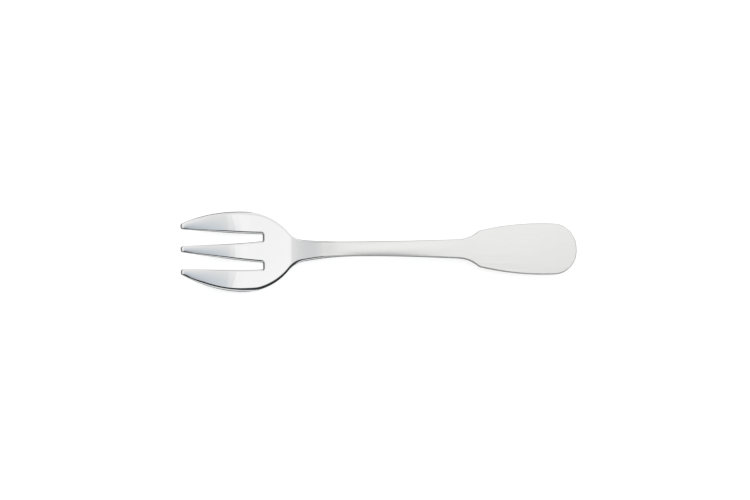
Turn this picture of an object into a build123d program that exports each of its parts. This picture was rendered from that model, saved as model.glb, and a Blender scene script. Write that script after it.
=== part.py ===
from build123d import *
import math
import os

# Oyster fork, pressed in one piece from a steel blank: three tines, a dished head,
# a waisted stem and a fiddle-shaped handle.
# Frame: millimetres, +X from the tines to the handle, +Y across, +Z up. The fork lies on its back
# on the plane Z = 0, and the origin is under the middle of its box.

# Length and where its features lie, each from the tine tips or the handle's end
FORK_LENGTH = 150.0
TINE_LENGTH = 30.9
HEAD_WIDEST_FROM_TIP = 23.4
WAIST_FROM_TIP = 64.5
SHOULDER_FROM_END = 37.6
HANDLE_WIDEST_FROM_END = 13.0

# Widths across the fork
HEAD_WIDTH = 30.4
TIP_SPREAD = 18.8
MIDDLE_TINE_TIP_WIDTH = 2.1
MIDDLE_TINE_ROOT_WIDTH = 8.0
SLOT_MOUTH_WIDTH = 6.5
SLOT_ROOT_WIDTH = 2.8
STEM_WIDTH = 5.4
SHOULDER_WIDTH = 13.6
HANDLE_WIDTH = 19.5

# Radii of the outline, seen from above
CHEEK_RADIUS = 22.2
NECK_RADIUS = 9.0
STEM_FLARE_RADIUS_HEAD = 135.0
STEM_FLARE_RADIUS_HANDLE = 950.0
SHOULDER_HOLLOW_RADIUS = 12.5
SHOULDER_CORNER_RADIUS = 2.4
HANDLE_CORNER_RADIUS = 8.8
HANDLE_END_RADIUS = 13.0
SLOT_CORNER_RADIUS = 0.5
TINE_TIP_RADIUS = 0.8

# Side view: heights of the underside over the table, slopes and bends
BOWL_FROM_TIP = 30.5
CREST_FROM_TIP = 69.0
TIP_HEIGHT = 9.8
CREST_HEIGHT = 5.6
TIP_SLOPE = 24.0
END_SLOPE = 5.5
TIP_BEND_RADIUS = 160.0
BOWL_BEND_RADIUS = 60.0
CREST_BEND_RADIUS = 90.0
END_BEND_RADIUS = 1200.0

# Thickness of the steel
TIP_THICKNESS = 1.3
BOWL_THICKNESS = 2.0
STEM_THICKNESS = 3.0
END_THICKNESS = 2.0

# Cross curve of the two faces: how far the middle stands over the edges, on the width named
HEAD_DISH = 0.9
STEM_CROWN = 0.45
HANDLE_CROWN = 0.35

# Polished edges: rounded on the upper face, eased by a flat on the back
TOP_EDGE_RADIUS = 0.55
BACK_EDGE_FLAT = 0.35

# Room by which the pressing tools and cutters pass the blank
CLEAR = 3.0

TIP_X = -FORK_LENGTH / 2
END_X = FORK_LENGTH / 2
ROOT_X = TIP_X + TINE_LENGTH
WIDEST_X = TIP_X + HEAD_WIDEST_FROM_TIP
WAIST_X = TIP_X + WAIST_FROM_TIP
BOWL_X = TIP_X + BOWL_FROM_TIP
CREST_X = TIP_X + CREST_FROM_TIP
SHOULDER_X = END_X - SHOULDER_FROM_END
HANDLE_WIDEST_X = END_X - HANDLE_WIDEST_FROM_END


def bend_through(run, rise):
    """Radius of the arc that leaves a line tangent to it and stands off by rise after run."""
    return (run**2 + rise**2) / (2 * rise)


def meet(center_a, radius_a, center_b, radius_b, side):
    """Point at the two given distances from two centers, left (1) or right (-1) of the way from a to b."""
    way = center_b - center_a
    along = (radius_a**2 - radius_b**2 + way.length**2) / (2 * way.length)
    off = math.sqrt(radius_a**2 - along**2)
    unit = way.normalized()
    return center_a + unit * along + Vector(-unit.Y, unit.X) * (side * off)


def touch(center, radius, other):
    """Point of a circle on the line from its center towards another circle's center."""
    return center + (other - center).normalized() * radius


def half_outline():
    """Edges of the outline on the +Y side, from the handle's end to a little past the outer tine."""
    waist = Vector(WAIST_X, STEM_WIDTH / 2)
    widest = Vector(WIDEST_X, HEAD_WIDTH / 2)
    shoulder = Vector(SHOULDER_X, SHOULDER_WIDTH / 2)
    side_radius = bend_through(HANDLE_WIDEST_X - SHOULDER_X, (HANDLE_WIDTH - SHOULDER_WIDTH) / 2)
    flank_radius = bend_through(HEAD_WIDEST_FROM_TIP, (HEAD_WIDTH - TIP_SPREAD) / 2)

    end = Vector(END_X - HANDLE_END_RADIUS, 0)
    side = Vector(HANDLE_WIDEST_X, HANDLE_WIDTH / 2 - side_radius)
    stem_back = waist + Vector(0, STEM_FLARE_RADIUS_HANDLE)
    stem_front = waist + Vector(0, STEM_FLARE_RADIUS_HEAD)
    cheek = widest - Vector(0, CHEEK_RADIUS)
    flank = widest - Vector(0, flank_radius)
    reach = HEAD_WIDEST_FROM_TIP + CLEAR
    past_tip = flank + Vector(-reach, math.sqrt(flank_radius**2 - reach**2))
    corner = meet(
        end, HANDLE_END_RADIUS - HANDLE_CORNER_RADIUS, side, side_radius - HANDLE_CORNER_RADIUS, 1
    )
    hollow = meet(
        stem_back, STEM_FLARE_RADIUS_HANDLE - SHOULDER_HOLLOW_RADIUS, shoulder, SHOULDER_HOLLOW_RADIUS, -1
    )
    knuckle = meet(
        side,
        side_radius - SHOULDER_CORNER_RADIUS,
        hollow,
        SHOULDER_HOLLOW_RADIUS + SHOULDER_CORNER_RADIUS,
        -1,
    )
    neck = meet(cheek, CHEEK_RADIUS + NECK_RADIUS, stem_front, STEM_FLARE_RADIUS_HEAD - NECK_RADIUS, -1)

    arcs = [
        (end, HANDLE_END_RADIUS, touch(end, HANDLE_END_RADIUS, corner)),
        (corner, HANDLE_CORNER_RADIUS, touch(side, side_radius, corner)),
        (side, side_radius, touch(side, side_radius, knuckle)),
        (knuckle, SHOULDER_CORNER_RADIUS, touch(hollow, SHOULDER_HOLLOW_RADIUS, knuckle)),
        (hollow, SHOULDER_HOLLOW_RADIUS, touch(stem_back, STEM_FLARE_RADIUS_HANDLE, hollow)),
        (stem_back, STEM_FLARE_RADIUS_HANDLE, waist),
        (stem_front, STEM_FLARE_RADIUS_HEAD, touch(stem_front, STEM_FLARE_RADIUS_HEAD, neck)),
        (neck, NECK_RADIUS, touch(cheek, CHEEK_RADIUS, neck)),
        (cheek, CHEEK_RADIUS, widest),
        (flank, flank_radius, past_tip),
    ]
    edges = []
    start = Vector(END_X, 0)
    for center, radius, stop in arcs:
        edges.append(ThreePointArc(start, touch(center, radius, (start + stop) / 2), stop))
        start = stop
    return edges


def slot(side):
    """Gap between the middle tine and an outer one, run out past the tips."""
    spread = (MIDDLE_TINE_ROOT_WIDTH - MIDDLE_TINE_TIP_WIDTH) / 2 / TINE_LENGTH
    widen = (SLOT_MOUTH_WIDTH - SLOT_ROOT_WIDTH) / TINE_LENGTH
    run = TINE_LENGTH + 2 * CLEAR
    inner_root = MIDDLE_TINE_ROOT_WIDTH / 2
    outer_root = inner_root + SLOT_ROOT_WIDTH
    inner_mouth = inner_root - spread * run
    outer_mouth = inner_mouth + SLOT_ROOT_WIDTH + widen * run
    mouth_x = ROOT_X - run
    return make_face(
        Polyline(
            (ROOT_X, side * inner_root),
            (ROOT_X, side * outer_root),
            (mouth_x, side * outer_mouth),
            (mouth_x, side * inner_mouth),
            close=True,
        )
    )


def plan():
    """The blank seen from above, its tines still too long, with rounded slot roots."""
    half = half_outline()
    far_tip = half[-1] @ 1
    tip_line = Line(far_tip, (far_tip.X, -far_tip.Y))
    blank = make_face(Curve() + half + [edge.mirror(Plane.XZ) for edge in half] + tip_line)
    blank = blank - slot(1) - slot(-1)
    roots = blank.vertices().filter_by_position(Axis.X, ROOT_X, ROOT_X)
    return fillet(roots, SLOT_CORNER_RADIUS)


def ease(share):
    """Smooth step from 0 to 1 with no slope and no bend at either end."""
    share = min(max(share, 0.0), 1.0)
    return share**3 * (10 - 15 * share + 6 * share**2)


def eased(x, knots):
    """Value at x of a curve that eases from each (x, value) knot to the next."""
    value = knots[0][1]
    for (x_a, value_a), (x_b, value_b) in zip(knots, knots[1:]):
        value += (value_b - value_a) * ease((x - x_a) / (x_b - x_a))
    return value


def quintic(x, left, right):
    """Height and slope at x of the curve with the height, slope and bend given at two ends."""
    x_a, height_a, slope_a, bend_a = left
    x_b, height_b, slope_b, bend_b = right
    span = x_b - x_a
    t = (x - x_a) / span
    c0 = height_a
    c1 = slope_a * span
    c2 = bend_a * span**2 / 2
    gap = height_b - c0 - c1 - c2
    slope_gap = slope_b * span - c1 - 2 * c2
    bend_gap = bend_b * span**2 - 2 * c2
    c3 = 10 * gap - 4 * slope_gap + bend_gap / 2
    c4 = -15 * gap + 7 * slope_gap - bend_gap
    c5 = 6 * gap - 3 * slope_gap + bend_gap / 2
    height = c0 + t * (c1 + t * (c2 + t * (c3 + t * (c4 + t * c5))))
    slope = (c1 + t * (2 * c2 + t * (3 * c3 + t * (4 * c4 + t * 5 * c5)))) / span
    return height, slope


def back_line(x):
    """Height and slope of the fork's underside along its middle."""
    tip = (TIP_X, TIP_HEIGHT, -math.tan(math.radians(TIP_SLOPE)), 1 / TIP_BEND_RADIUS)
    bowl = (BOWL_X, 0.0, 0.0, 1 / BOWL_BEND_RADIUS)
    crest = (CREST_X, CREST_HEIGHT, 0.0, -1 / CREST_BEND_RADIUS)
    end = (END_X, 0.0, -math.tan(math.radians(END_SLOPE)), -1 / END_BEND_RADIUS)
    if x < TIP_X:
        return tip[1] + tip[2] * (x - TIP_X), tip[2]
    if x > END_X:
        return end[1] + end[2] * (x - END_X), end[2]
    left, right = (tip, bowl) if x < BOWL_X else (bowl, crest) if x < CREST_X else (crest, end)
    return quintic(x, left, right)


def thickness(x):
    """Thickness of the steel along the fork."""
    front = [(TIP_X, TIP_THICKNESS), (BOWL_X, BOWL_THICKNESS)]
    rear = [(CREST_X, STEM_THICKNESS), (END_X, END_THICKNESS)]
    return eased(x, front + rear)


def cross_bend(x):
    """Bend across the fork of the upper and the lower face: above 0 where the middle stands up."""
    dish = -8 * HEAD_DISH / HEAD_WIDTH**2
    stem = 8 * STEM_CROWN / STEM_WIDTH**2
    handle = 8 * HANDLE_CROWN / HANDLE_WIDTH**2
    neck_x = CREST_X - (CREST_X - BOWL_X) / 2
    upper = [(TIP_X, dish / 2), (BOWL_X, dish), (neck_x, dish), (CREST_X, stem), (SHOULDER_X, handle)]
    lower = [(TIP_X, dish / 2), (BOWL_X, dish), (neck_x, dish), (CREST_X, -stem), (SHOULDER_X, 0.0)]
    return eased(x, upper), eased(x, lower)


def face_section(point, bend, far):
    """Section of a pressing tool across the fork: a face with the given bend, and a back at height far."""
    half = HEAD_WIDTH / 2 + CLEAR
    drop = bend * half**2 / 2
    edge = point.Z - drop
    right, right_far = (point.X, half, edge), (point.X, half, far)
    left, left_far = (point.X, -half, edge), (point.X, -half, far)
    face = Bezier(left, (point.X, 0, point.Z + drop), right)
    return make_face(Curve() + face + Polyline(right, right_far, left_far, left))


def stations():
    """Places along the fork where the faces are set: closer where they bend most."""
    spans = [(TIP_X - CLEAR, BOWL_X, 9), (BOWL_X, CREST_X, 10), (CREST_X, END_X + CLEAR, 11)]
    places = [spans[0][0]]
    for start, stop, count in spans:
        places += [start + (stop - start) * step / count for step in range(1, count + 1)]
    return places


def pressing_tools():
    """The two solids that leave the fork between them: one over its upper face, one under its back."""
    high = 4 * (CREST_HEIGHT + TIP_HEIGHT)
    upper, lower = [], []
    for x in stations():
        height, slope = back_line(x)
        on_back = Vector(x, 0, height)
        normal = Vector(-slope, 0, 1).normalized()
        upper_bend, lower_bend = cross_bend(x)
        lower.append(face_section(on_back, lower_bend, -high))
        upper.append(face_section(on_back + normal * thickness(x), upper_bend, high))
    return loft(upper), loft(lower)


def broad_faces(solid):
    """The back and the upper face: by far the two largest."""
    return solid.faces().sort_by(SortBy.AREA)[-2:].sort_by(Axis.Z)


def off_middle(edges):
    """Those edges that don't lie in the plane between the fork's two halves."""
    return [edge for edge in edges if abs(edge.center().Y) > 1e-6]


def fork():
    """One half, pressed, cut to length and eased along its edges, joined to its mirror image."""
    upper, lower = pressing_tools()
    high = 2 * (CREST_HEIGHT + TIP_HEIGHT)
    lean = math.radians(TIP_SLOPE)
    lost = BACK_EDGE_FLAT * math.sin(lean)
    on_tip = (TIP_X - lost, 0, back_line(TIP_X - lost)[0])
    tip_cut = Plane(on_tip, x_dir=(0, 1, 0), z_dir=(-math.cos(lean), 0, math.sin(lean)))

    pressed = extrude(plan(), high, both=True) - upper - lower
    pressed = split(pressed, tip_cut, keep=Keep.BOTTOM)
    half = split(pressed, Plane.XZ, keep=Keep.BOTTOM)
    corners = []
    for tine_end in half.faces().filter_by(tip_cut):
        across = tine_end.edges().sort_by(Axis.Y)
        corners += off_middle([across[0], across[-1]])
    half = fillet(corners, TINE_TIP_RADIUS)
    half = fillet(off_middle(broad_faces(half)[-1].edges()), TOP_EDGE_RADIUS)
    half = chamfer(off_middle(broad_faces(half)[0].edges()), BACK_EDGE_FLAT)
    return half + half.mirror(Plane.XZ)


os.makedirs("parts", exist_ok=True)
export_step(fork(), "parts/oyster_fork.step")
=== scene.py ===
import math

import bpy
import numpy as np
from bpy.props import FloatProperty, FloatVectorProperty, IntProperty, PointerProperty
from mathutils import Matrix, Vector


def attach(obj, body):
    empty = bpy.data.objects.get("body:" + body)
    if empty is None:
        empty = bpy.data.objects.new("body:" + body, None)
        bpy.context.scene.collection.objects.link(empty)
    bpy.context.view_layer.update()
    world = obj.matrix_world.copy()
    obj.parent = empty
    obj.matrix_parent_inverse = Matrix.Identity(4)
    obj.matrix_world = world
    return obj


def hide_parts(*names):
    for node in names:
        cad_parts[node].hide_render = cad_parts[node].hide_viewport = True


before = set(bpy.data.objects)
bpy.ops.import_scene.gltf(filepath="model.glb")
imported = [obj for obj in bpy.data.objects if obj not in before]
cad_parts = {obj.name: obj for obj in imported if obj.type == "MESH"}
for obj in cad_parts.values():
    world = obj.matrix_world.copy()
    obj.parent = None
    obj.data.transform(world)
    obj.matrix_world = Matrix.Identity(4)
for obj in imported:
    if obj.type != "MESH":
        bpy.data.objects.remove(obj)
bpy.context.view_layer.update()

bl_info = {
    "name": "Oyster fork",
    "version": (1, 0, 0),
    "blender": (4, 5, 0),
    "location": "View3D > Sidebar > Oyster fork",
    "description": "Makes a three-tined oyster fork of pressed steel and the studio it lies in",
    "category": "Add Mesh",
}

NODE = "oyster_fork"


# Property helpers


def length(name, description, default):
    """A length in metres."""
    return FloatProperty(name=name, description=description, default=default, unit="LENGTH", precision=5)


def angle(name, description, degrees):
    """An angle, given in degrees and kept in radians."""
    radians = math.radians(degrees)
    return FloatProperty(name=name, description=description, default=radians, subtype="ANGLE")


def share(name, description, default):
    """A plain number from 0 up."""
    return FloatProperty(name=name, description=description, default=default, min=0.0)


def colour(name, description, default):
    """A linear colour."""
    kind = {"subtype": "COLOR", "size": 3}
    return FloatVectorProperty(name=name, description=description, default=default, **kind)


class ForkSizes(bpy.types.PropertyGroup):
    """Sizes of the fork, which lies along X with its tines towards -X."""

    fork_length: length("Length", "From the tine tips to the handle's end", 0.150)
    tine_length: length("Tine length", "From the tips to the roots of the two slots", 0.0309)
    widest_from_tip: length("Head's widest place", "From the tine tips", 0.0234)
    waist_from_tip: length("Waist", "Narrowest place of the stem, from the tine tips", 0.0645)
    shoulder_from_end: length("Shoulder", "Step from stem to handle, from the handle's end", 0.0376)
    handle_widest_from_end: length("Handle's widest place", "From the handle's end", 0.0130)

    head_width: length("Head width", "Across the two outer tines at the widest place", 0.0304)
    tip_spread: length("Tip spread", "Across the outer sides of the outer tips", 0.0188)
    middle_tip_width: length("Middle tine at its tip", "Width", 0.0021)
    middle_root_width: length("Middle tine at its root", "Width", 0.0080)
    slot_mouth: length("Slot mouth", "Width of a slot at the tips", 0.0065)
    slot_root: length("Slot root", "Width of a slot at its closed end", 0.0028)
    stem_width: length("Stem width", "At the waist", 0.0054)
    shoulder_width: length("Shoulder width", "Across the handle at its shoulders", 0.0136)
    handle_width: length("Handle width", "At the widest place", 0.0195)

    cheek_radius: length("Cheek radius", "Round back corner of the head, seen from above", 0.0222)
    neck_radius: length("Neck radius", "Hollow between head and stem", 0.0090)
    flare_head: length("Stem flare to the head", "Radius of the stem's side", 0.135)
    flare_handle: length("Stem flare to the handle", "Radius of the stem's side", 0.950)
    hollow_radius: length("Shoulder hollow", "Radius of the hollow before the shoulder", 0.0125)
    knuckle_radius: length("Shoulder corner", "Radius of the shoulder's corner", 0.0024)
    handle_corner: length("Handle corner", "Radius of the corners at the handle's end", 0.0088)
    handle_end: length("Handle end", "Radius of the handle's end", 0.0130)
    slot_corner: length("Slot corner", "Radius in the corners of a slot's closed end", 0.0005)
    tip_wear: length("Tip wear", "What polishing takes off the tips", 0.00004)
    tip_corner: length("Tip corner", "Radius of a tine tip's corners", 0.0008)
    tip_lean: length("Tip lean", "How far a tip's upper edge stands back from its lower one", 0.00034)

    bowl_from_tip: length("Lowest place", "Where the back touches the table, from the tips", 0.0305)
    crest_from_tip: length("Crest", "Highest place of the stem, from the tips", 0.069)
    tip_height: length("Tip height", "Back of the tine tips over the table", 0.0098)
    crest_height: length("Crest height", "Back of the stem over the table", 0.0056)
    tip_slope: angle("Tip slope", "How steeply the tines rise at their tips", 24.0)
    end_slope: angle("End slope", "How steeply the handle runs down at its end", 5.5)
    tip_bend: length("Tip bend", "Radius in side view at the tips", 0.160)
    bowl_bend: length("Bowl bend", "Radius in side view at the lowest place", 0.060)
    crest_bend: length("Crest bend", "Radius in side view at the crest", 0.090)
    end_bend: length("End bend", "Radius in side view at the handle's end", 1.200)

    tip_thickness: length("Tip thickness", "Steel at the tine tips", 0.0013)
    bowl_thickness: length("Bowl thickness", "Steel at the lowest place", 0.0020)
    stem_thickness: length("Stem thickness", "Steel at the crest", 0.0030)
    end_thickness: length("End thickness", "Steel at the handle's end", 0.0020)
    head_dish: length("Head dish", "Depth of the hollow across the head", 0.0009)
    stem_crown: length("Stem crown", "How far the stem's middle stands over its sides", 0.00045)
    handle_crown: length("Handle crown", "How far the handle's middle stands over its sides", 0.00035)
    level_run: length("Levelling", "Length over which the dish runs out along a tine", 0.015)
    tip_axis: length("Outer tip", "Middle of an outer tine's tip, from the middle line", 0.0085)
    tine_axis: length("Outer tine", "Middle of an outer tine, from the middle line", 0.0110)
    tine_crown: length("Tine crown", "How far a tine's middle stands over its own sides", 0.0002)

    tip_edge: length("Edge radius at the tips", "Rounding of the upper edges", 0.00033)
    flank_tip_edge: length("Edge radius at the outer tips", "Where the flanks' rounding starts", 0.00092)
    flank_edge: length("Edge radius at the flanks", "Rounding of the outer tines' upper edges", 0.0023)
    head_edge: length("Edge radius at the head", "Rounding of the upper edges", 0.0030)
    head_edge_from_tip: length("Head edge ends", "Where that rounding shrinks, from the tips", 0.0410)
    stem_edge: length("Edge radius at the stem", "Rounding of the upper edges behind the head", 0.0017)
    stem_edge_from_tip: length("Stem edge begins", "Where that rounding begins, from the tips", 0.0470)
    slot_edge: length("Edge radius in the slots", "Rounding of the upper edges", 0.0015)
    handle_edge: length("Edge radius at the handle", "Rounding of the upper edges", 0.0006)
    back_edge: length("Back edge radius", "Rounding of the lower edges", 0.0004)
    edge_break: angle("Edge break", "Angle at which the upper edges' rounding leaves the face", 20.0)
    edge_turn: angle("Edge turn", "Angle at which that rounding ends in the wall", 53.0)
    cheek_turn: angle("Cheek turn", "Angle at which the head's rounding ends in the wall", 40.0)
    nose_edge: length("Nose radius", "Rounding of the upper edge on the end of a tine", 0.0009)
    nose_turn: angle("Nose turn", "Angle at which that rounding ends in the wall", 62.0)

    edge_rows: IntProperty(name="Edge rows", description="Rows of faces round a rounded edge", default=8)


class SteelFinish(bpy.types.PropertyGroup):
    """Finish of the steel: mirror-polished head, lengthwise satin on stem and handle."""

    mirror_colour: colour("Polished steel", "Colour of the mirror-polished head", (0.93, 0.93, 0.93))
    satin_colour: colour("Satin steel", "Colour of the brushed stem and handle", (0.94, 0.935, 0.92))
    mirror_roughness: share("Polished roughness", "Roughness of the head", 0.04)
    satin_roughness: share("Satin roughness", "Roughness of the stem and handle", 0.36)
    satin_from_tip: length("Satin begins", "Middle of the change to satin, from the tips", 0.0530)
    satin_blend: length("Change to satin", "Length over which the finish changes", 0.0060)
    streak_width: length("Streak width", "Width of the brushed streaks", 0.00045)
    streak_length: length("Streak length", "Length of the brushed streaks", 0.030)
    streak_depth: share("Streak depth", "Strength of the streaks' relief", 0.12)


class Studio(bpy.types.PropertyGroup):
    """The floor, the lights and the camera."""

    lens: FloatProperty(name="Lens", description="Focal length in mm on a 36 mm sensor", default=114.1)
    distance: length("Camera distance", "From the fork's origin", 0.900)
    lean_x: angle("Lean along the fork", "Camera's lean towards the tines", 4.1)
    lean_y: angle("Lean across the fork", "Camera's lean towards -Y", 7.6)
    roll: angle("Roll", "Turn of the camera about its own axis", 1.06)
    aim_x: length("Aim along the picture", "Fork's origin right of the picture's middle", 0.00170)
    aim_y: length("Aim across the picture", "Fork's origin below the picture's middle", 0.00043)
    softbox_height: length("Softbox height", "Over the floor", 1.20)
    softbox_tines: length("Softbox over the tines", "How far it reaches towards -X", 0.553)
    softbox_handle: length("Softbox over the handle", "How far it reaches towards +X", 0.640)
    softbox_front: length("Softbox front", "How far it reaches towards -Y", 0.30)
    softbox_back: length("Softbox back", "How far it reaches towards +Y", 1.00)
    softbox_light: share("Softbox brightness", "Brightness that its face adds to the room's", 0.157)
    skirt: length("Softbox skirt", "How far its dim rim reaches past its +X side", 0.14)
    skirt_light: share("Skirt brightness", "Brightness of the dim rim and the layer behind it", 0.055)
    floor_glow: share("Floor glow", "Light of the floor itself, as the camera sees it", 0.70)
    floor_bounce: share("Floor bounce", "Light of the floor itself, as the fork mirrors it", 0.05)
    floor_shade: share("Floor shade", "Share of light that the floor returns to the camera", 0.80)
    floor_tone: share("Floor tone", "Share of light that the floor returns to the fork", 0.30)
    floor_reach: length("Floor reach", "From the fork's origin to the floor's sides", 4.0)


# The outline: pieces are arcs and lines, followed with the steel on the left


def arc(center, radius, start, stop):
    """Round piece from one angle to another: full where the angle grows, hollow where it falls."""
    size = radius * abs(stop - start)
    return {"center": np.array(center), "radius": radius, "angles": (start, stop), "size": size}


def line(start, stop):
    """Straight piece from one point to another."""
    start, stop = np.array(start), np.array(stop)
    return {"ends": (start, stop), "size": float(np.hypot(*(stop - start)))}


def heading(origin, target):
    """Angle of the way from one point to another."""
    return math.atan2(target[1] - origin[1], target[0] - origin[0])


def meet(center_a, radius_a, center_b, radius_b, side):
    """Point at two given distances from two centers, left (1) or right (-1) of the way from a to b."""
    way = np.subtract(center_b, center_a)
    gap = float(np.hypot(*way))
    along = (radius_a**2 - radius_b**2 + gap**2) / (2 * gap)
    off = math.sqrt(radius_a**2 - along**2)
    unit = way / gap
    return np.asarray(center_a) + unit * along + np.array((-unit[1], unit[0])) * side * off


def bend_through(run, rise):
    """Radius of the arc that leaves a line tangent to it and stands off by rise after run."""
    return (run**2 + rise**2) / (2 * rise)


def half_outline(z, tip_x):
    """Pieces of the outline for Y over 0, from the handle's end round to the tip of the middle tine.

    Circles tangent to one another make the outer side, as in the CAD part. The tip's line lies at tip_x.
    """
    end_x = z.fork_length / 2
    root_x = -end_x + z.tine_length
    waist = np.array((-end_x + z.waist_from_tip, z.stem_width / 2))
    widest = np.array((-end_x + z.widest_from_tip, z.head_width / 2))
    shoulder = np.array((end_x - z.shoulder_from_end, z.shoulder_width / 2))
    side_x = end_x - z.handle_widest_from_end
    side_r = bend_through(side_x - shoulder[0], (z.handle_width - z.shoulder_width) / 2)
    flank_r = bend_through(z.widest_from_tip, (z.head_width - z.tip_spread) / 2)

    end = np.array((end_x - z.handle_end, 0.0))
    side = np.array((side_x, z.handle_width / 2 - side_r))
    rear = waist + (0.0, z.flare_handle)
    front = waist + (0.0, z.flare_head)
    cheek = widest - (0.0, z.cheek_radius)
    flank = widest - (0.0, flank_r)
    corner = meet(end, z.handle_end - z.handle_corner, side, side_r - z.handle_corner, 1)
    hollow = meet(rear, z.flare_handle - z.hollow_radius, shoulder, z.hollow_radius, -1)
    knuckle = meet(side, side_r - z.knuckle_radius, hollow, z.hollow_radius + z.knuckle_radius, -1)
    neck = meet(cheek, z.cheek_radius + z.neck_radius, front, z.flare_head - z.neck_radius, -1)

    narrowing = (z.middle_root_width - z.middle_tip_width) / 2 / z.tine_length
    widening = (z.slot_mouth - z.slot_root) / z.tine_length
    inner_slope, outer_slope = narrowing, narrowing - widening
    inner_root = z.middle_root_width / 2
    outer_root = inner_root + z.slot_root
    inner_lean, outer_lean = math.hypot(1, inner_slope), math.hypot(1, outer_slope)

    def inner_y(x):
        """Y of the slot's inner side, on the middle tine."""
        return inner_root + inner_slope * (x - root_x)

    def outer_y(x):
        """Y of the slot's outer side, on the outer tine."""
        return outer_root + outer_slope * (x - root_x)

    tip_r, slot_r = z.tip_corner, z.slot_corner
    near_x, deep_x = tip_x + tip_r, root_x - slot_r
    tip_out = np.array((near_x, flank[1] + math.sqrt((flank_r - tip_r) ** 2 - (near_x - flank[0]) ** 2)))
    tip_in = np.array((near_x, outer_y(near_x) + tip_r * outer_lean))
    tip_mid = np.array((near_x, inner_y(near_x) - tip_r * inner_lean))
    deep_out = np.array((deep_x, outer_y(deep_x) - slot_r * outer_lean))
    deep_in = np.array((deep_x, inner_y(deep_x) + slot_r * inner_lean))
    outer_way, inner_way = math.atan(outer_slope), math.atan(inner_slope)
    up, left = math.pi / 2, math.pi

    def on(center, radius, way):
        """Point of a circle at an angle."""
        return center + radius * np.array((math.cos(way), math.sin(way)))

    return {
        "end": arc(end, z.handle_end, 0.0, heading(end, corner)),
        "corner": arc(corner, z.handle_corner, heading(end, corner), heading(side, corner)),
        "side": arc(side, side_r, heading(side, corner), heading(side, knuckle)),
        "knuckle": arc(knuckle, z.knuckle_radius, heading(side, knuckle), heading(knuckle, hollow)),
        "hollow": arc(hollow, z.hollow_radius, heading(hollow, knuckle), heading(rear, hollow)),
        "stem_rear": arc(rear, z.flare_handle, heading(rear, hollow), -up),
        "stem_front": arc(front, z.flare_head, -up, heading(front, neck)),
        "neck": arc(neck, z.neck_radius, heading(front, neck), heading(neck, cheek)),
        "cheek": arc(cheek, z.cheek_radius, heading(cheek, neck), up),
        "flank": arc(flank, flank_r, up, heading(flank, tip_out)),
        "tip_out": arc(tip_out, tip_r, heading(flank, tip_out), left),
        "tip": line(on(tip_out, tip_r, left), on(tip_in, tip_r, left)),
        "tip_in": arc(tip_in, tip_r, left, outer_way + 3 * up),
        "slot_out": line(on(tip_in, tip_r, outer_way - up), on(deep_out, slot_r, outer_way + up)),
        "deep_out": arc(deep_out, slot_r, outer_way + up, 0.0),
        "slot_end": line(on(deep_out, slot_r, 0.0), on(deep_in, slot_r, 0.0)),
        "deep_in": arc(deep_in, slot_r, 0.0, inner_way - up),
        "slot_in": line(on(deep_in, slot_r, inner_way - up), on(tip_mid, tip_r, inner_way + up)),
        "tip_mid": arc(tip_mid, tip_r, inner_way + up, left),
        "middle_tip": line(on(tip_mid, tip_r, left), (tip_x, 0.0)),
    }


def piece_starts(pieces):
    """Distances at which the pieces of a row start, and its whole length at the end."""
    return np.concatenate(([0.0], np.cumsum([piece["size"] for piece in pieces.values()])))


def piece_numbers(starts, reach):
    """Number of the piece at each of the given distances."""
    return np.clip(np.searchsorted(starts, reach, side="right") - 1, 0, len(starts) - 2)


def walk(pieces, reach):
    """Points and outward normals at the given distances along a row of pieces."""
    starts = piece_starts(pieces)
    which = piece_numbers(starts, reach)
    points, normals = np.zeros((len(reach), 2)), np.zeros((len(reach), 2))
    for number, piece in enumerate(pieces.values()):
        here = which == number
        t = ((reach[here] - starts[number]) / piece["size"])[:, None]
        if "ends" in piece:
            start, stop = piece["ends"]
            points[here] = start + t * (stop - start)
            way = (stop - start) / piece["size"]
            normals[here] = (way[1], -way[0])
        else:
            start, stop = piece["angles"]
            turn = start + t * (stop - start)
            out = np.hstack((np.cos(turn), np.sin(turn)))
            points[here] = piece["center"] + piece["radius"] * out
            normals[here] = out * math.copysign(1.0, stop - start)
    return points, normals


# Spacing of the outline: step of a straight run, turn in a step of an arc, sharpest bend, trials

STRAIGHT_STEP = 0.0006
ARC_STEP = 0.16
SHARPEST_BEND = 1500
TRIALS = 6001


def spaced(pieces, start, stop, count):
    """Distances from start to stop in count steps, closer together where the outline turns.

    The crowding at a place is one over the straight step, plus the bend over the arc's step.
    """
    bends = np.array([1 / piece["radius"] if "radius" in piece else 0.0 for piece in pieces.values()])
    fine = np.linspace(start, stop, TRIALS)
    which = piece_numbers(piece_starts(pieces), fine)
    crowding = 1 / STRAIGHT_STEP + np.minimum(bends[which], SHARPEST_BEND) / ARC_STEP
    total = np.concatenate(([0.0], np.cumsum((crowding[1:] + crowding[:-1]) / 2)))
    return np.interp(np.linspace(0, total[-1], count + 1), total, fine)


# Side view and cross curve


def ease(t):
    """Smooth step from 0 to 1 with no slope and no bend at either end."""
    t = np.clip(t, 0.0, 1.0)
    return t**3 * (10 - 15 * t + 6 * t**2)


def eased(x, knots):
    """Values at x of a curve that eases from each (x, value) knot to the next."""
    value = np.full_like(x, knots[0][1])
    for (x_a, value_a), (x_b, value_b) in zip(knots, knots[1:]):
        value = value + (value_b - value_a) * ease((x - x_a) / (x_b - x_a))
    return value


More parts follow.
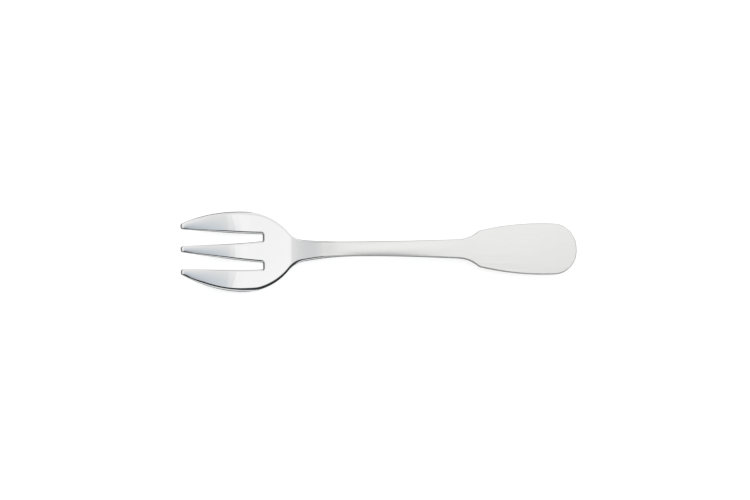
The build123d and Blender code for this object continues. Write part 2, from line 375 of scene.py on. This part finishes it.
def quintic(x, left, right):
    """Heights and slopes at x of the fifth-degree curve with height, slope and bend given at two ends."""
    x_a, height_a, slope_a, bend_a = left
    x_b, height_b, slope_b, bend_b = right
    span = x_b - x_a
    t = (x - x_a) / span
    c0, c1, c2 = height_a, slope_a * span, bend_a * span**2 / 2
    gap = height_b - c0 - c1 - c2
    slope_gap = slope_b * span - c1 - 2 * c2
    bend_gap = bend_b * span**2 - 2 * c2
    c3 = 10 * gap - 4 * slope_gap + bend_gap / 2
    c4 = -15 * gap + 7 * slope_gap - bend_gap
    c5 = 6 * gap - 3 * slope_gap + bend_gap / 2
    height = c0 + t * (c1 + t * (c2 + t * (c3 + t * (c4 + t * c5))))
    slope = (c1 + t * (2 * c2 + t * (3 * c3 + t * (4 * c4 + t * 5 * c5)))) / span
    return height, slope


def back_line(z, x):
    """Heights and slopes of the back along the fork's middle: three fifth-degree curves end to end."""
    end_x = z.fork_length / 2
    tip = (-end_x, z.tip_height, -math.tan(z.tip_slope), 1 / z.tip_bend)
    bowl = (-end_x + z.bowl_from_tip, 0.0, 0.0, 1 / z.bowl_bend)
    crest = (-end_x + z.crest_from_tip, z.crest_height, 0.0, -1 / z.crest_bend)
    end = (end_x, 0.0, -math.tan(z.end_slope), -1 / z.end_bend)
    spans = [x < bowl[0], (x >= bowl[0]) & (x < crest[0]), x >= crest[0]]
    runs = [quintic(x, tip, bowl), quintic(x, bowl, crest), quintic(x, crest, end)]
    return np.select(spans, [run[0] for run in runs]), np.select(spans, [run[1] for run in runs])


def across_squared(z, x, y):
    """Y squared for the cross curve, levelled along each tine to its value on the tine's middle."""
    end_x = z.fork_length / 2
    level = ease((z.tine_length - end_x - x) / z.level_run)
    axis = eased(x, [(-end_x, z.tip_axis), (-end_x + z.level_run, z.tine_axis)])
    outer = np.abs(y) > (z.middle_root_width + z.slot_root) / 2
    return (1 - level) * y**2 + level * np.where(outer, axis, 0.0) ** 2


def cross_bend(rise, width):
    """Bend of the parabola whose middle stands over its sides by rise, across a width."""
    return 8 * rise / width**2


# Share of the head's dish that is left at the tips

TIP_DISH = 0.5


def face_heights(z, xy, upper):
    """Heights of the upper face or the back: the side view's curve, bent across as a parabola in Y."""
    x, y = xy[..., 0], xy[..., 1]
    end_x = z.fork_length / 2
    bowl_x, crest_x = -end_x + z.bowl_from_tip, -end_x + z.crest_from_tip
    neck_x, shoulder_x = (bowl_x + crest_x) / 2, end_x - z.shoulder_from_end
    dish = -cross_bend(z.head_dish, z.head_width)
    stem = cross_bend(z.stem_crown, z.stem_width)
    handle = cross_bend(z.handle_crown, z.handle_width)
    height, slope = back_line(z, x)
    bends = [(-end_x, dish * TIP_DISH), (bowl_x, dish), (neck_x, dish)]
    if upper:
        front = [(-end_x, z.tip_thickness), (bowl_x, z.bowl_thickness)]
        thickness = eased(x, front + [(crest_x, z.stem_thickness), (end_x, z.end_thickness)])
        height = height + thickness * np.sqrt(1 + slope**2)
        bends += [(crest_x, stem), (shoulder_x, handle)]
    else:
        bends += [(crest_x, -stem), (shoulder_x, 0.0)]
    return height - eased(x, bends) * across_squared(z, x, y) / 2


# The mesh: patches inside the outline, and a rim carried round it


def joined(*rows):
    """Rows of points end to end, each starting where the one before it stops."""
    return np.concatenate([rows[0]] + [row[1:] for row in rows[1:]])


def straight(start, stop, count):
    """Points on a line, in count steps."""
    return start + np.linspace(0, 1, count + 1)[:, None] * (np.asarray(stop) - start)


def patch(side_a, side_b, end_a, end_b, reach_a, reach_b):
    """Grid of points between two sides and two ends.

    Point (i, j) lies on the line from side_a[i] to side_b[i]. How far each end departs from its
    own line is added, fading out over the share reach_a or reach_b of the rows.
    """
    rows = np.linspace(0, 1, len(side_a))[:, None, None]
    across = np.linspace(0, 1, len(end_a))[None, :, None]
    grid = side_a[:, None] * (1 - across) + side_b[:, None] * across
    bulge_a = end_a - straight(end_a[0], end_a[-1], len(end_a) - 1)
    bulge_b = end_b - straight(end_b[0], end_b[-1], len(end_b) - 1)
    return grid + ease(1 - rows / reach_a) * bulge_a + ease(1 - (1 - rows) / reach_b) * bulge_b


def axis_row(side, stop_x, reach):
    """Points on the middle line beside a side's points.

    Over the last rows, a share reach of them, they slide along so that the last is at stop_x.
    """
    fade = ease(1 - (1 - np.linspace(0, 1, len(side))) / reach)
    x = side[:, 0] + fade * (stop_x - side[-1, 0])
    return np.column_stack((x, np.zeros(len(x))))


# Steps across half the middle tine, a slot and an outer tine, and along a tine and the body

STEPS = {"middle": 9, "slot": 7, "outer": 18, "tine": 84, "body": 250}

# Share of a patch's rows over which the shape of its end fades out

BODY_REACH = 0.12
TINE_REACH = 0.2

# Number of the mark at which the outer side stops and the first tip begins

TIP_MARK = 3


def edge_path(z, tip_x):
    """The outline's half as points, normals, and the index at which each patch's side begins.

    The marks lie in the middle of a round corner, so that no patch has a sharp one.
    """
    pieces = half_outline(z, tip_x)
    names = list(pieces)
    starts = piece_starts(pieces)

    def middle(name):
        """Distance to the middle of a piece."""
        return starts[names.index(name)] + pieces[name]["size"] / 2

    cheek = pieces["cheek"]
    root_x = -z.fork_length / 2 + z.tine_length - z.slot_corner * (1 - math.sqrt(0.5))
    turn = math.acos((root_x - cheek["center"][0]) / cheek["radius"]) - cheek["angles"][0]
    root = starts[names.index("cheek")] + turn * cheek["radius"]
    marks = [0.0, middle("corner"), root, middle("tip_out"), middle("tip_in")]
    marks += [middle("deep_out"), middle("deep_in"), middle("tip_mid"), starts[-1]]
    across = STEPS["middle"] + STEPS["slot"] + STEPS["outer"]
    counts = [across, STEPS["body"], STEPS["tine"], STEPS["outer"], STEPS["tine"]]
    counts += [STEPS["slot"], STEPS["tine"], STEPS["middle"]]
    runs = [spaced(pieces, a, b, n) for a, b, n in zip(marks, marks[1:], counts)]
    points, normals = walk(pieces, joined(*runs))
    points[[0, -1], 1] = 0.0
    return points, normals, np.concatenate(([0], np.cumsum(counts)))


def patches(inset, marks):
    """Three grids that fill half of the fork inside its edge.

    They are the body, the outer tine and half of the middle tine.
    """
    rear, body, flank, tip, slot_out, slot_end, slot_in, middle_tip = [
        inset[a : b + 1] for a, b in zip(marks, marks[1:])
    ]
    middle_root = straight(np.array((slot_in[0, 0], 0.0)), slot_in[0], STEPS["middle"])
    outer_root = straight(slot_out[-1], flank[0], STEPS["outer"])
    front = joined(middle_root, slot_end[::-1], outer_root)
    body_axis = axis_row(body[::-1], rear[0, 0], BODY_REACH)[::-1]
    slide = ease(1 - (1 - np.linspace(0, 1, len(body))) / BODY_REACH)
    body_axis[:, 0] += slide * (middle_root[0, 0] - body_axis[-1, 0])
    middle_axis = axis_row(slot_in, middle_tip[-1, 0], TINE_REACH)
    return (
        patch(body_axis, body, rear, front, BODY_REACH, BODY_REACH),
        patch(slot_out[::-1], flank, outer_root, tip[::-1], TINE_REACH, TINE_REACH),
        patch(middle_axis, slot_in, middle_root, middle_tip[::-1], TINE_REACH, TINE_REACH),
    )


# Crown along a tine: the power by which it grows, and the share of the tine over which it ends

SWELL_POWER = 1.5
SWELL_END = 0.15


def tine_swell(shape, half):
    """Crown of a tine from 0 to 1: a parabola across it, rising from the root and falling to the tip."""
    way = np.linspace(0, 1, shape[0])[:, None]
    along = way**SWELL_POWER * ease((1 - way) / SWELL_END)
    across = np.linspace(0, 1, shape[1])[None, :]
    return along * (1 - across**2 if half else 4 * across * (1 - across))


def grid_faces(rows, columns, flip):
    """Quads of a grid, as indices of its points counted row by row."""
    index = np.arange(rows * columns).reshape(rows, columns)
    quads = [index[:-1, :-1], index[1:, :-1], index[1:, 1:], index[:-1, 1:]]
    return np.stack(quads[::-1] if flip else quads, axis=-1).reshape(-1, 4)


# Where roundings are full, as shares of the way to the widest place and of the tine length

FLANK_FULL = 1 / 2
SLOT_FULL = 2 / 3

# A nose: share of the tine that it can lie on, how far its normal faces -X, and the span to full

NOSE_REACH = 1 / 2
NOSE_FACING = 0.3
NOSE_SPAN = 0.5


def edge_rounding(z, points, normals, marks):
    """Radius and last angle of the upper edge's rounding at each point of the outline.

    The radius eases from tip to flank to head to stem to handle on the outer side, and from tip to
    root in a slot. The angle eases to the cheek's at the back of the head and away from it again.
    Where the outline faces -X on the end of a tine, both ease to the values of the nose.
    """
    tip_x = -z.fork_length / 2
    x = points[:, 0]
    flank_x = tip_x + z.widest_from_tip * FLANK_FULL
    widest_x, root_x = tip_x + z.widest_from_tip, tip_x + z.tine_length
    neck_x, stem_x = tip_x + z.head_edge_from_tip, tip_x + z.stem_edge_from_tip
    waist_x = tip_x + z.waist_from_tip
    outer = [(tip_x, z.flank_tip_edge), (flank_x, z.flank_edge), (root_x, z.head_edge)]
    outer += [(neck_x, z.head_edge), (stem_x, z.stem_edge), (waist_x, z.handle_edge)]
    turns = [(widest_x, z.edge_turn), (root_x, z.cheek_turn)]
    turns += [(neck_x, z.cheek_turn), (stem_x, z.edge_turn)]
    slots = [(tip_x, z.tip_edge), (tip_x + z.tine_length * SLOT_FULL, z.slot_edge)]
    in_slot = np.arange(len(points)) > marks[TIP_MARK]
    radius = np.where(in_slot, eased(x, slots), eased(x, outer))
    turn = np.where(in_slot, z.edge_turn, eased(x, turns))
    facing = ease((-normals[:, 0] - NOSE_FACING) / NOSE_SPAN)
    nose = facing * (x < tip_x + z.tine_length * NOSE_REACH)
    return radius + nose * (z.nose_edge - radius), turn + nose * (z.nose_turn - turn)


def rim(z, top, back):
    """Grid of points round the edge: the rounded upper edge, the wall and the rounded back edge.

    A row at turn t of the upper edge stands in from the outline by r (sin b - sin t) and drops by
    r (cos a - cos t), where a is the angle of the crisp break from the face and b the angle at the wall.
    """
    points, normals, radius, turn = top
    low_points, low_normals, low_radius, low_turn = back
    turns = np.linspace(np.full_like(turn, z.edge_break), turn, z.edge_rows + 1)
    inset = points - ((np.sin(turn) - np.sin(turns)) * radius)[..., None] * normals
    drop = (math.cos(z.edge_break) - np.cos(turns)) * radius
    upper = np.dstack((inset, face_heights(z, inset, True) - drop))
    turns = np.linspace(low_turn, np.zeros_like(low_turn), z.edge_rows + 1)
    inset = low_points - ((1 - np.sin(turns)) * low_radius)[..., None] * low_normals
    lower = np.dstack((inset, face_heights(z, inset, False) + (1 - np.cos(turns)) * low_radius))
    share_down = np.array((1 / 3, 2 / 3))[:, None, None]
    wall = upper[-1] + share_down * (lower[0] - upper[-1])
    return np.concatenate((upper, wall, lower))


# Points that fall together at this many places to the metre are one

WELDS_PER_METRE = 1e7


def fork_mesh(z):
    """Points and quads of the fork: half of it is worked out, and its mirror image closes it."""
    tip_x = -z.fork_length / 2 + z.tip_wear
    grids = []
    paths = []
    for upper, edge_x in ((True, tip_x + z.tip_lean), (False, tip_x)):
        points, normals, marks = edge_path(z, edge_x)
        if upper:
            radius, turn = edge_rounding(z, points, normals, marks)
            width = radius * (np.sin(turn) - math.sin(z.edge_break))
        else:
            width = radius = np.full(len(points), z.back_edge)
            turn = np.full(len(points), math.pi / 2)
        paths.append((points, normals, radius, turn))
        body, outer, middle = patches(points - width[:, None] * normals, marks)
        swells = [0.0, tine_swell(outer.shape, False), tine_swell(middle.shape, True)]
        for part, swell in zip((body, outer, middle), swells):
            heights = face_heights(z, part, upper) + (z.tine_crown * swell if upper else 0.0)
            grids.append((np.dstack((part, heights)), upper))
    grids.append((rim(z, *paths), False))

    corners, quads, count = [], [], 0
    for grid, flip in grids:
        faces = grid_faces(*grid.shape[:2], flip)
        flat = grid.reshape(-1, 3)
        for turned in (False, True):
            corners.append(flat * ((1, -1, 1) if turned else (1, 1, 1)))
            quads.append((faces[:, ::-1] if turned else faces) + count)
            count += len(flat)
    corners, quads = np.concatenate(corners), np.concatenate(quads)
    places = np.round(corners * WELDS_PER_METRE)
    _, first, where = np.unique(places, axis=0, return_index=True, return_inverse=True)
    return corners[first], where.reshape(-1)[quads]


# Steel

# Sockets of a Mix node for colours: the two inputs and the output

MIX_A, MIX_B, MIX_OUT = 6, 7, 2


class Tree:
    """A node tree that is filled by name, with values and links set as nodes are added."""

    def __init__(self, owner):
        owner.use_nodes = True
        self.tree = owner.node_tree
        self.tree.nodes.clear()

    def add(self, kind, settings=None, **inputs):
        """A new node.

        Inputs are sockets by name with _ for a space, or by number after an i. Each is given a value
        or another node's output.
        """
        node = self.tree.nodes.new(kind)
        for name, value in (settings or {}).items():
            setattr(node, name, value)
        for name, value in inputs.items():
            key = int(name[1:]) if name[0] == "i" and name[1:].isdigit() else name.replace("_", " ")
            self.put(node.inputs[key], value)
        return node

    def put(self, socket, value):
        """Sets a socket to a value, or links it to an output."""
        if isinstance(value, bpy.types.NodeSocket):
            self.tree.links.new(value, socket)
        else:
            socket.default_value = value

    def math(self, operation, a, b=0.0):
        """Output of a Math node."""
        return self.add("ShaderNodeMath", {"operation": operation}, i0=a, i1=b).outputs[0]

    def step(self, value, start, stop, low=0.0, high=1.0):
        """Output of a smooth step of value from start to stop, between low and high."""
        settings = {"interpolation_type": "SMOOTHSTEP"}
        limits = {"From_Min": start, "From_Max": stop, "To_Min": low, "To_Max": high}
        return self.add("ShaderNodeMapRange", settings, Value=value, **limits).outputs[0]

    def blend(self, share_b, a, b):
        """Output of a plus share_b of the way to b, for plain numbers."""
        return self.math("ADD", a, self.math("MULTIPLY", share_b, self.math("SUBTRACT", b, a)))

    def mix(self, share_b, a, b):
        """Output of a colour mix."""
        node = self.add("ShaderNodeMix", {"data_type": "RGBA"}, i0=share_b)
        self.put(node.inputs[MIX_A], a)
        self.put(node.inputs[MIX_B], b)
        return node.outputs[MIX_OUT]


# Noise runs from 0 to 1 around its middle, and most of it lies in its span

NOISE_MIDDLE = 0.5
NOISE_SPAN = (0.3, 0.7)

# Spread of each roughness and of the streaks' colour, as shares of the plain value

POLISH_SPREAD = (0.7, 1.4)
SATIN_SPREAD = (0.85, 1.15)
STREAK_SHADE = 0.975

# Streaks: how much finer the fine ones are, the detail and the share of each, and their relief

FINER = 4
BROAD_DETAIL, FINE_DETAIL = 3.0, 2.0
BROAD_SHARE, FINE_SHARE = 0.6, 0.4
RELIEF_HEIGHT = 0.00002

# Clouds of the polish to the metre and their detail, and how far the satin's beginning wanders

CLOUDS_PER_METRE = 260.0
CLOUD_DETAIL = 3.0
WANDER = 0.1


def steel(f, tip_x):
    """Mirror steel on the head that changes to lengthwise-brushed satin on the stem and handle."""
    material = bpy.data.materials.new("fork_steel")
    t = Tree(material)
    place = t.add("ShaderNodeTexCoord").outputs["Object"]
    along = t.add("ShaderNodeSeparateXYZ", Vector=place).outputs["X"]

    def streaks(width, run, detail):
        """Noise drawn out along X, one streak to each width across and run along."""
        stretch = t.add("ShaderNodeMapping", Vector=place, Scale=(1 / run, 1 / width, 0.0))
        settings = {"noise_dimensions": "2D"}
        inputs = {"Vector": stretch.outputs[0], "Scale": 1.0, "Detail": detail}
        return t.add("ShaderNodeTexNoise", settings, **inputs).outputs["Fac"]

    broad = streaks(f.streak_width, f.streak_length, BROAD_DETAIL)
    fine = streaks(f.streak_width / FINER, f.streak_length / FINER, FINE_DETAIL)
    wander = t.math("MULTIPLY", t.math("SUBTRACT", broad, NOISE_MIDDLE), WANDER * f.satin_blend)
    ragged = t.math("ADD", along, wander)
    begins = tip_x + f.satin_from_tip
    satin = t.step(ragged, begins - f.satin_blend / 2, begins + f.satin_blend / 2)

    noise = {"Vector": place, "Scale": CLOUDS_PER_METRE, "Detail": CLOUD_DETAIL}
    cloud = t.add("ShaderNodeTexNoise", **noise).outputs["Fac"]
    grain = t.math("ADD", t.math("MULTIPLY", broad, BROAD_SHARE), t.math("MULTIPLY", fine, FINE_SHARE))
    polished = t.step(cloud, *NOISE_SPAN, *(f.mirror_roughness * part for part in POLISH_SPREAD))
    brushed = t.step(grain, *NOISE_SPAN, *(f.satin_roughness * part for part in SATIN_SPREAD))
    rough = t.blend(satin, polished, brushed)

    light = (*f.satin_colour, 1.0)
    dark = (*(STREAK_SHADE * part for part in f.satin_colour), 1.0)
    streaked = t.mix(t.step(grain, *NOISE_SPAN), dark, light)
    tint = t.mix(satin, (*f.mirror_colour, 1.0), streaked)
    relief = t.math("MULTIPLY", grain, satin)
    bump = t.add("ShaderNodeBump", Strength=f.streak_depth, Distance=RELIEF_HEIGHT, Height=relief)
    looks = {"Base_Color": tint, "Roughness": rough, "Normal": bump.outputs[0]}
    shader = t.add("ShaderNodeBsdfPrincipled", **looks)
    shader.inputs["Metallic"].default_value = 1.0
    t.add("ShaderNodeOutputMaterial", Surface=shader.outputs[0])
    return material


# Share of the edge break at which a fold of the mesh is drawn sharp

SHARP_SHARE = 0.8


class OYSTER_OT_fork(bpy.types.Operator):
    """Make the fork, in one piece of steel"""

    bl_idname = "oyster_fork.make_fork"
    bl_label = "Fork"

    def execute(self, context):
        sizes = context.scene.fork_sizes
        points, quads = fork_mesh(sizes)
        mesh = bpy.data.meshes.new("pressed_fork")
        mesh.from_pydata(points, [], quads)
        if mesh.validate():
            raise RuntimeError("the fork's mesh has faulty faces")
        mesh.shade_smooth()
        mesh.set_sharp_from_angle(angle=SHARP_SHARE * sizes.edge_break)
        piece = bpy.data.objects.new("pressed_fork", mesh)
        context.scene.collection.objects.link(piece)
        mesh.materials.append(steel(context.scene.steel_finish, -sizes.fork_length / 2))
        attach(piece, "root")
        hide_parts(NODE)
        return {"FINISHED"}


# Studio


def area_light(name, low, high, height, brightness):
    """Flat lamp that faces down, over a rectangle of the floor."""
    lamp = bpy.data.lights.new(name, "AREA")
    lamp.shape = "RECTANGLE"
    lamp.size, lamp.size_y = high[0] - low[0], high[1] - low[1]
    lamp.energy = brightness * math.pi * lamp.size * lamp.size_y
    holder = bpy.data.objects.new(name, lamp)
    holder.location = ((low[0] + high[0]) / 2, (low[1] + high[1]) / 2, height)
    bpy.context.scene.collection.objects.link(holder)


# Colours, and where the cool one shows

WHITE = (1.0, 1.0, 1.0, 1.0)
BACKDROP = (0.97, 0.97, 0.97, 1.0)
COOL_LIGHT = (0.93, 1.0, 1.06, 1.0)
COOL_TONES = (0.64, 0.79, 1.0, 0.0)
COOL_X = (-0.40, -0.05, 0.15, 1.0)

# The sky: tone by height, a tilt across it, and the dimmer parts that the tines and the neck mirror

SKY_TONES = [(0.0, 0.42), (0.35, 0.48), (0.62, 0.645), (0.73, 0.72)]
SKY_TONES += [(0.84, 0.80), (0.92, 0.82), (1.0, 0.80)]
TILT_X = (0.38, 0.52, 0.05, 1.1)
TILT_MIDDLE = 0.13
TINES_X = (0.34, 0.46, 1.0, 0.965)
NECK_X = (-0.60, -0.34, 0.73, 1.0)

# The wall behind the fork, a little greyer towards +X, with a dim post low on its -X side

WALL_WAY = (0.44, 0.90)
WALL_STEP = (0.60, 0.80)
WALL_TONE = 0.86
WALL_Y = (0.68, 0.80)
WALL_GREY_X = (0.08, 0.40, 0.0, 0.05)
POST_X = (-0.33, -0.24, 0.7, 0.0)
POST_Z = (0.42, 0.50, 1.0, 0.0)

# The dark gap before the fork, the pale zone low under it, and the dim side low at -X

GAP_WAY = (0.31, -0.95)
GAP_STEP = (0.36, 0.50)
GAP_Z = (0.36, 0.48)
PALE_Z = (0.04, 0.18, 0.42, 0.80)
SIDE_X = (-0.85, -0.60, 0.6, 0.0)
SIDE_Z = (0.45, 0.66, 1.0, 0.0)
DARKEST = 0.94


def room():
    """Surroundings that the fork mirrors, by direction, with x, y and z the parts of the way there.

    The sky is pale overhead and fades down. Behind the fork stands a bright wall with a dim post, and
    before it a dark gap over a pale zone, which the bevels mirror as a dark line. Low at -X it is
    dim, and darker tones are cooler. The camera itself sees a plain pale backdrop. Every constant
    that a step takes holds where the step starts and stops, and the values before and after it.
    """
    world = bpy.data.worlds.new("studio_room")
    bpy.context.scene.world = world
    t = Tree(world)
    way = t.add("ShaderNodeTexCoord").outputs["Generated"]
    parts = t.add("ShaderNodeSeparateXYZ", Vector=way)
    x, y, z = (parts.outputs[name] for name in "XYZ")
    ramp = t.add("ShaderNodeValToRGB", Fac=z)
    ramp.color_ramp.elements.remove(ramp.color_ramp.elements[1])
    for number, (at, tone) in enumerate(SKY_TONES):
        element = ramp.color_ramp.elements[0] if number == 0 else ramp.color_ramp.elements.new(at)
        element.position = at
        element.color = (tone, tone, tone, 1.0)

    def towards(part_x, part_y):
        """How far a direction points along a level one."""
        return t.math("ADD", t.math("MULTIPLY", y, part_y), t.math("MULTIPLY", x, part_x))

    tilt = t.math("MULTIPLY", t.step(x, *TILT_X), t.math("SUBTRACT", y, TILT_MIDDLE))
    tone = t.math("MULTIPLY", ramp.outputs["Color"], t.math("ADD", 1.0, tilt))
    tone = t.math("MULTIPLY", tone, t.step(x, *NECK_X))
    tone = t.math("MULTIPLY", tone, t.step(x, *TINES_X))

    behind = t.step(towards(*WALL_WAY), *WALL_STEP)
    square_on = t.step(y, *WALL_Y)
    grey = t.math("MULTIPLY", t.step(x, *WALL_GREY_X), square_on)
    tone = t.blend(behind, tone, t.math("SUBTRACT", WALL_TONE, grey))
    post = t.math("MULTIPLY", t.step(x, *POST_X), t.step(z, *POST_Z))
    shade = t.math("MULTIPLY", post, square_on)
    tone = t.math("MULTIPLY", tone, t.math("SUBTRACT", 1.0, shade))

    before = t.step(towards(*GAP_WAY), *GAP_STEP)
    over = t.step(z, *GAP_Z)
    gap = t.math("MULTIPLY", before, over)
    under = t.math("MULTIPLY", before, t.math("SUBTRACT", 1.0, over))
    tone = t.blend(under, tone, t.step(z, *PALE_Z))
    side = t.math("MULTIPLY", t.step(x, *SIDE_X), t.step(z, *SIDE_Z))
    dark = t.math("MULTIPLY", t.math("MAXIMUM", gap, side), DARKEST)
    tone = t.math("MULTIPLY", tone, t.math("SUBTRACT", 1.0, dark))

    coolness = t.math("MULTIPLY", t.step(tone, *COOL_TONES), t.step(x, *COOL_X))
    cool = t.mix(coolness, WHITE, COOL_LIGHT)
    lit = t.add("ShaderNodeVectorMath", {"operation": "SCALE"}, i0=cool, Scale=tone).outputs[0]
    seen = t.add("ShaderNodeLightPath").outputs["Is Camera Ray"]
    sky = t.mix(seen, lit, BACKDROP)
    glow = t.add("ShaderNodeBackground", Color=sky, Strength=1.0)
    t.add("ShaderNodeOutputWorld", Surface=glow.outputs[0])


FLOOR_ROUGHNESS = 0.9


def lit_floor(s):
    """Level square that is white and glows for the camera, and is a dull grey in the fork's mirror."""
    reach = s.floor_reach
    mesh = bpy.data.meshes.new("floor")
    corners = [(-reach, -reach, 0), (reach, -reach, 0), (reach, reach, 0), (-reach, reach, 0)]
    mesh.from_pydata(corners, [], [(0, 1, 2, 3)])
    floor = bpy.data.objects.new("floor", mesh)
    bpy.context.scene.collection.objects.link(floor)
    white = bpy.data.materials.new("lit_floor")
    t = Tree(white)
    shader = t.add("ShaderNodeBsdfPrincipled", Roughness=FLOOR_ROUGHNESS)
    shader.inputs["Specular IOR Level"].default_value = 0.0
    shader.inputs["Emission Color"].default_value = WHITE
    seen = t.add("ShaderNodeLightPath").outputs["Is Camera Ray"]
    grey, pale = ((tone, tone, tone, 1.0) for tone in (s.floor_tone, s.floor_shade))
    t.put(shader.inputs["Base Color"], t.mix(seen, grey, pale))
    glow = t.step(seen, 0.0, 1.0, s.floor_bounce, s.floor_glow)
    t.put(shader.inputs["Emission Strength"], glow)
    t.add("ShaderNodeOutputMaterial", Surface=shader.outputs[0])
    mesh.materials.append(white)
    return floor


# Width of the camera's sensor in mm, and the nearest and furthest that it sees in metres

SENSOR_WIDTH = 36.0
NEAREST, FURTHEST = 0.01, 50.0


def leaning_camera(s):
    """Camera over the fork, leaning off upright by two angles, rolled, and aimed beside the origin."""
    lens = bpy.data.cameras.new("camera")
    lens.lens = s.lens
    lens.sensor_width = SENSOR_WIDTH
    lens.clip_start, lens.clip_end = NEAREST, FURTHEST
    camera = bpy.data.objects.new("camera", lens)
    bpy.context.scene.collection.objects.link(camera)
    back = Vector((-math.tan(s.lean_x), -math.tan(s.lean_y), 1.0)).normalized()
    right = Vector((0, 1, 0)).cross(back).normalized()
    up = back.cross(right)
    turn = Matrix.Rotation(-s.roll, 3, back)
    right, up = turn @ right, turn @ up
    camera.matrix_world = Matrix((right, up, back)).transposed().to_4x4()
    camera.location = back * s.distance - right * s.aim_x + up * s.aim_y
    return camera


class OYSTER_OT_stage(bpy.types.Operator):
    """Make the lit floor, the softbox, the room and the camera"""

    bl_idname = "oyster_fork.make_stage"
    bl_label = "Stage"

    def execute(self, context):
        s = context.scene.studio
        floor = lit_floor(s)

        low, high = (-s.softbox_tines, -s.softbox_front), (s.softbox_handle, s.softbox_back)
        area_light("softbox", low, high, s.softbox_height, s.softbox_light)
        wide = (high[0] + s.skirt, high[1])
        area_light("softbox_skirt", low, wide, s.softbox_height, s.skirt_light)
        room()

        context.scene.camera = leaning_camera(s)
        context.scene.view_settings.view_transform = "Standard"
        return {"FINISHED"}


class OYSTER_PT_panel(bpy.types.Panel):
    """Lists what makes the fork and its stage"""

    bl_idname = "OYSTER_PT_panel"
    bl_label = "Oyster fork"
    bl_space_type = "VIEW_3D"
    bl_region_type = "UI"
    bl_category = "Oyster fork"

    def draw(self, context):
        column = self.layout.column()
        for group in (context.scene.fork_sizes, context.scene.steel_finish, context.scene.studio):
            for name in group.__annotations__:
                column.prop(group, name)
        column.operator(OYSTER_OT_fork.bl_idname)
        column.operator(OYSTER_OT_stage.bl_idname)


CLASSES = (ForkSizes, SteelFinish, Studio, OYSTER_OT_fork, OYSTER_OT_stage, OYSTER_PT_panel)


def register():
    """Adds the classes and hangs the property groups on the scene."""
    for item in CLASSES:
        bpy.utils.register_class(item)
    bpy.types.Scene.fork_sizes = PointerProperty(type=ForkSizes)
    bpy.types.Scene.steel_finish = PointerProperty(type=SteelFinish)
    bpy.types.Scene.studio = PointerProperty(type=Studio)


def unregister():
    """Takes away what register added."""
    del bpy.types.Scene.studio
    del bpy.types.Scene.steel_finish
    del bpy.types.Scene.fork_sizes
    for item in reversed(CLASSES):
        bpy.utils.unregister_class(item)


def main():
    """Makes the stage and the fork."""
    register()
    bpy.ops.oyster_fork.make_stage()
    bpy.ops.oyster_fork.make_fork()
    bpy.context.view_layer.update()


if __name__ == "__main__":
    main()
